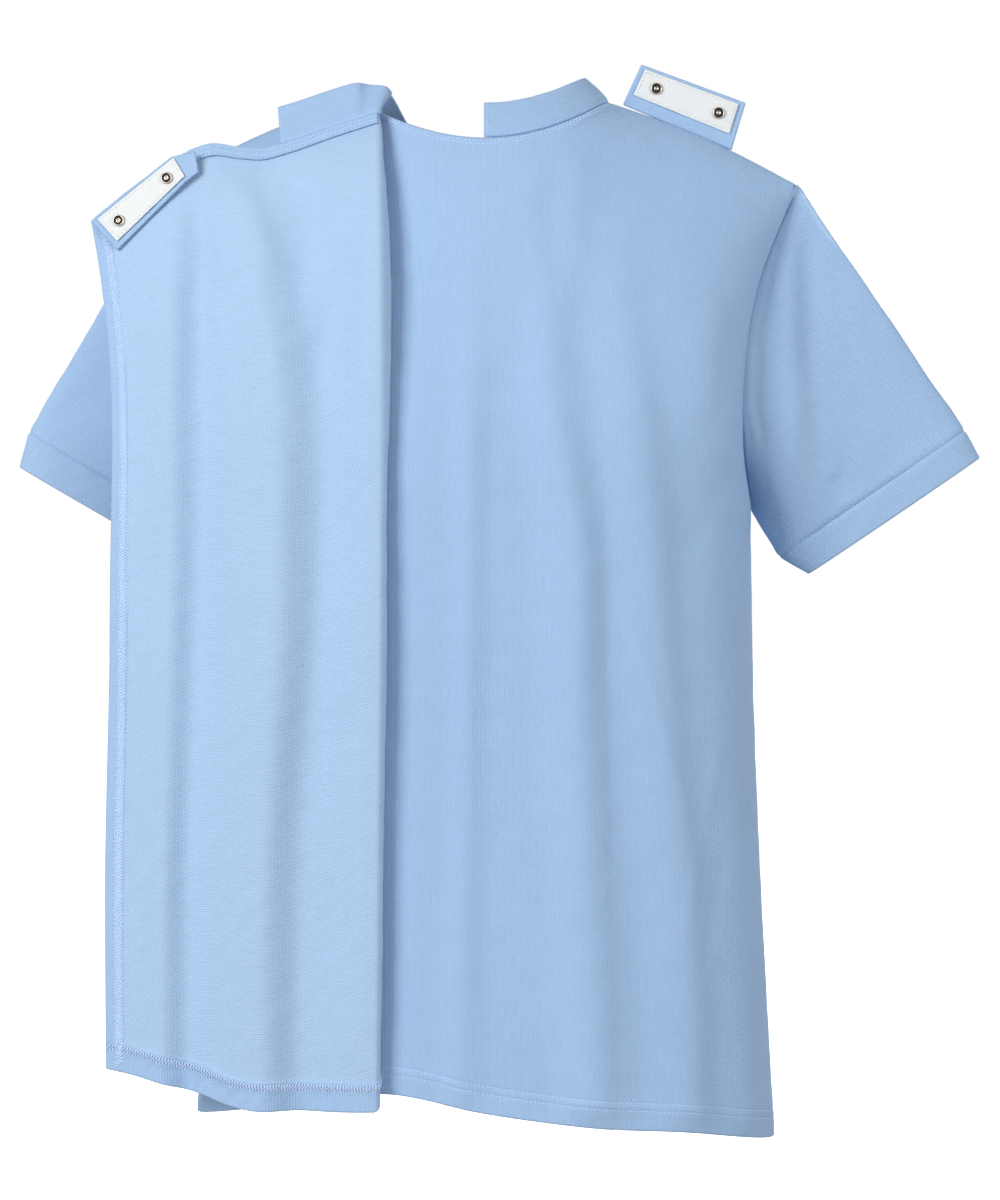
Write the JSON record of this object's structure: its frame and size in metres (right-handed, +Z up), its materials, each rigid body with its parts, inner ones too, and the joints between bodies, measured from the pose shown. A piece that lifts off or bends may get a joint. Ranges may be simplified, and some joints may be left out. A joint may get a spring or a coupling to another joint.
{
  "type": "open-back henley t-shirt",
  "caption": "Short-sleeved henley t-shirt whose left back is unfastened at the shoulder and folded back over an open, lap-over back, with snaps on shoulder tabs.",
  "frame": {"origin": "midway between the two shoulder points where the shoulder seams meet the neck, at their height, inside the neck", "axes": "+Z up the standing garment, +Y to the garment's front and +X to the wearer's right"},
  "size_m": [0.7, 0.2559, 0.7797],
  "materials": {
    "blue_jersey": "fine knitted cotton, matt",
    "white_twill_tape": "woven cotton tape, matt",
    "white_button": "turned resin, satin gloss",
    "nickel_snap": "stamped brass, nickel plated"
  },
  "bodies": {
    "root": {"front": "blue_jersey", "back_left": "blue_jersey", "back_right": "blue_jersey", "sleeve_left": "blue_jersey", "sleeve_right": "blue_jersey", "cuff_left": "blue_jersey", "cuff_right": "blue_jersey", "collar_left": "blue_jersey", "collar_right": "blue_jersey", "placket_upper": "blue_jersey", "placket_under": "blue_jersey", "shoulder_tab_left": "blue_jersey", "shoulder_tab_right": "blue_jersey", "neck_tape_left": "white_twill_tape", "snap_tape_left": "white_twill_tape", "snap_tape_right": "white_twill_tape", "button_1": "white_button", "button_2": "white_button", "button_3": "white_button", "snap_left_1": "nickel_snap", "snap_left_2": "nickel_snap", "snap_right_1": "nickel_snap", "snap_right_2": "nickel_snap"}
  },
  "joints": []
}
